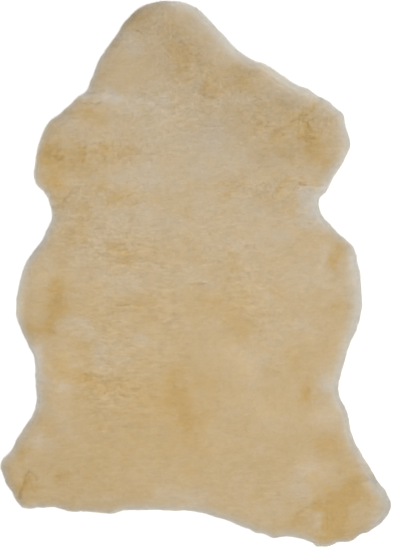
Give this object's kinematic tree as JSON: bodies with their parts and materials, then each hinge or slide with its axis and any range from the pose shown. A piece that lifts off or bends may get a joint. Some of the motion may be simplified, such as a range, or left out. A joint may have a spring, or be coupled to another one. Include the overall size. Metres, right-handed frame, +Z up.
{
  "type": "sheepskin rug",
  "caption": "Shorn lambskin rug: a whole cream hide lying flat, with dense short pile, a leather underside and the natural outline of neck, shoulders, flanks and hind legs.",
  "frame": {"origin": "on the floor, under the middle of the rug's bounding box", "axes": "+Y from the hind legs towards the neck, +X to the right as the rug lies with the pile up and the neck away from the viewer, +Z up through the pile"},
  "size_m": [0.662, 0.925, 0.0287],
  "materials": {
    "fleece": "dense shorn wool pile, matt with a soft sheen, mottled from cream to gold",
    "hide": "pale suede, the flesh side of the tanned hide"
  },
  "bodies": {
    "root": {"sheepskin": "fleece"}
  },
  "joints": []
}
